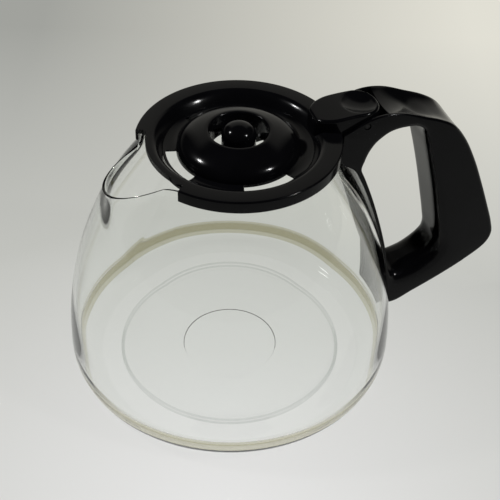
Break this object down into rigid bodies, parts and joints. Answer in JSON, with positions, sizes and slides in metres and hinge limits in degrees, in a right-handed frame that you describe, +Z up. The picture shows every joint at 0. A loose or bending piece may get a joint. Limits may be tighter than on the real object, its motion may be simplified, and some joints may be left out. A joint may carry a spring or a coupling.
{
  "type": "coffee carafe",
  "caption": "Round glass drip-coffee carafe with a pouring lip, a black loop handle on its side and a black hinged lid whose raised centre lets coffee drip through.",
  "frame": {"origin": "on the jug's axis at the table plane, under the middle of the jug's base", "axes": "+X from the jug's axis towards the handle, +Z up along the jug's axis, the pouring lip towards -X"},
  "size_m": [0.2108, 0.1548, 0.1342],
  "materials": {
    "glass": "clear, fire polished",
    "black_plastic": "gloss",
    "adhesive": "satin",
    "pin": "satin"
  },
  "bodies": {
    "carafe": {"glass_jug": "glass", "handle": "black_plastic", "upper_bond_pad": "adhesive", "lower_bond_pad": "adhesive", "hinge_pin": "pin"},
    "lid": {"lid": "black_plastic"}
  },
  "joints": [
    {"name": "lid_hinge", "type": "hinge", "parent": "carafe", "child": "lid", "pos_m": [0.0586, 0, 0.1288], "axis": [0, 1, 0], "range_deg": [0, 80]}
  ]
}
